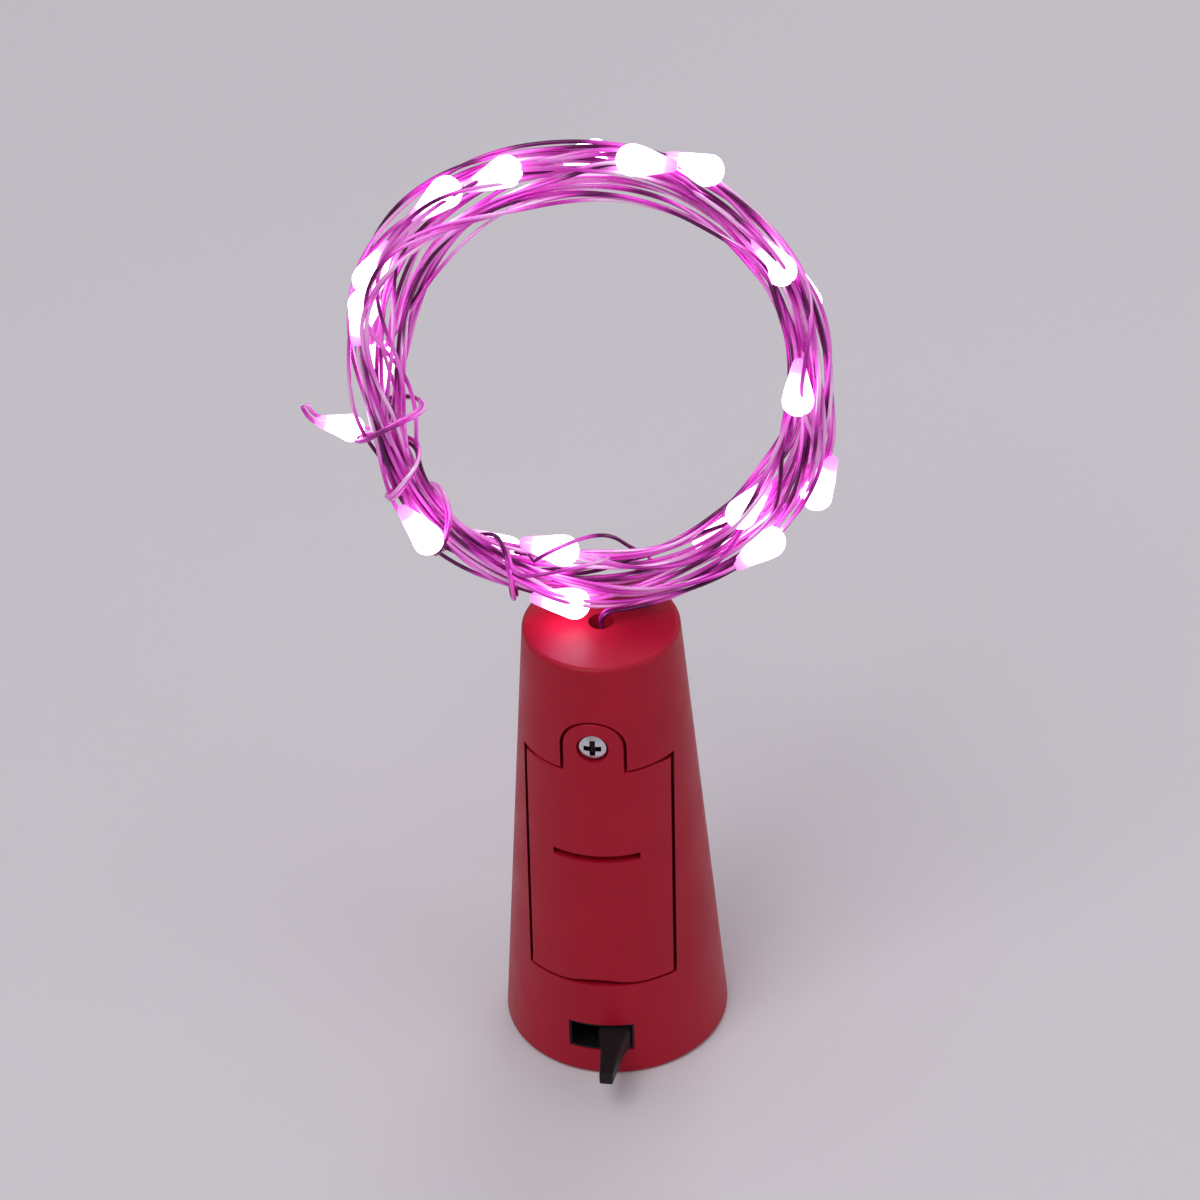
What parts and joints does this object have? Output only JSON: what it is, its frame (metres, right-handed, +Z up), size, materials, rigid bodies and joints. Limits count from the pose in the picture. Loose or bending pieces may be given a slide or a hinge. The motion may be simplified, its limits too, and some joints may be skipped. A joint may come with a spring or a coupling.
{
  "type": "cork bottle light",
  "caption": "Tapered cork-shaped stopper lamp with a battery door, a slide switch and a wound string of lit resin drops standing on its small end.",
  "frame": {"origin": "centre of the big end, which stands on the table", "axes": "+Z up through the wire hole in the small end, -Y out of the battery door, +X to the right of the door"},
  "size_m": [0.0505, 0.0335, 0.0938],
  "materials": {
    "red_plastic": "satin",
    "screw_steel": "bright plated",
    "tray_plastic": "matte",
    "spring_steel": "nickel plated",
    "cell_steel": "nickel plated",
    "gasket": "matte",
    "board": "matte",
    "brass": "bright",
    "black_plastic": "satin",
    "resistor_coat": "glossy",
    "lead_red": "satin",
    "lead_black": "satin",
    "glue": "waxy",
    "wire": "enamelled copper",
    "resin": "clear resin",
    "chip": "matte"
  },
  "bodies": {
    "cork": {"cork_body": "red_plastic", "end_cap": "red_plastic", "battery_tray": "tray_plastic", "contact_positive": "spring_steel", "contact_negative": "spring_steel", "switch_bezel": "black_plastic", "switch_frame": "spring_steel", "switch_base": "board", "switch_terminals": "brass", "resistor_body": "resistor_coat", "resistor_leads": "spring_steel", "lead_positive": "lead_red", "lead_return": "lead_black", "lead_switch": "lead_black", "wire_anchor": "glue", "wire_stem": "wire", "wire_coil": "wire", "wire_tail": "wire", "led_chips": "chip", "cell_can_1": "cell_steel", "cell_gasket_1": "gasket", "cell_cap_1": "cell_steel", "cell_can_2": "cell_steel", "cell_gasket_2": "gasket", "cell_cap_2": "cell_steel", "cell_can_3": "cell_steel", "cell_gasket_3": "gasket", "cell_cap_3": "cell_steel", "led_01": "resin", "led_02": "resin", "led_03": "resin", "led_04": "resin", "led_05": "resin", "led_06": "resin", "led_07": "resin", "led_08": "resin", "led_09": "resin", "led_10": "resin", "led_11": "resin", "led_12": "resin", "led_13": "resin", "led_14": "resin", "led_15": "resin", "led_16": "resin", "led_17": "resin", "led_18": "resin", "led_19": "resin", "led_20": "resin"},
    "door": {"battery_door": "red_plastic"},
    "screw": {"door_screw": "screw_steel", "screw_clip": "screw_steel"},
    "switch": {"switch_slider": "black_plastic", "switch_contact": "brass"}
  },
  "joints": [
    {"name": "switch_slide", "type": "slide", "parent": "cork", "child": "switch", "axis": [1, 0, 0], "range_m": [-0.00264, 0]},
    {"name": "door_swing", "type": "hinge", "parent": "cork", "child": "door", "pos_m": [0, -0.00943, 0.01195], "axis": [1, 0, 0], "range_deg": [0, 55]},
    {"name": "screw_turn", "type": "hinge", "parent": "door", "child": "screw", "pos_m": [0, -0.00816, 0.039], "axis": [0, -0.9974, 0.0727], "continuous": true}
  ]
}
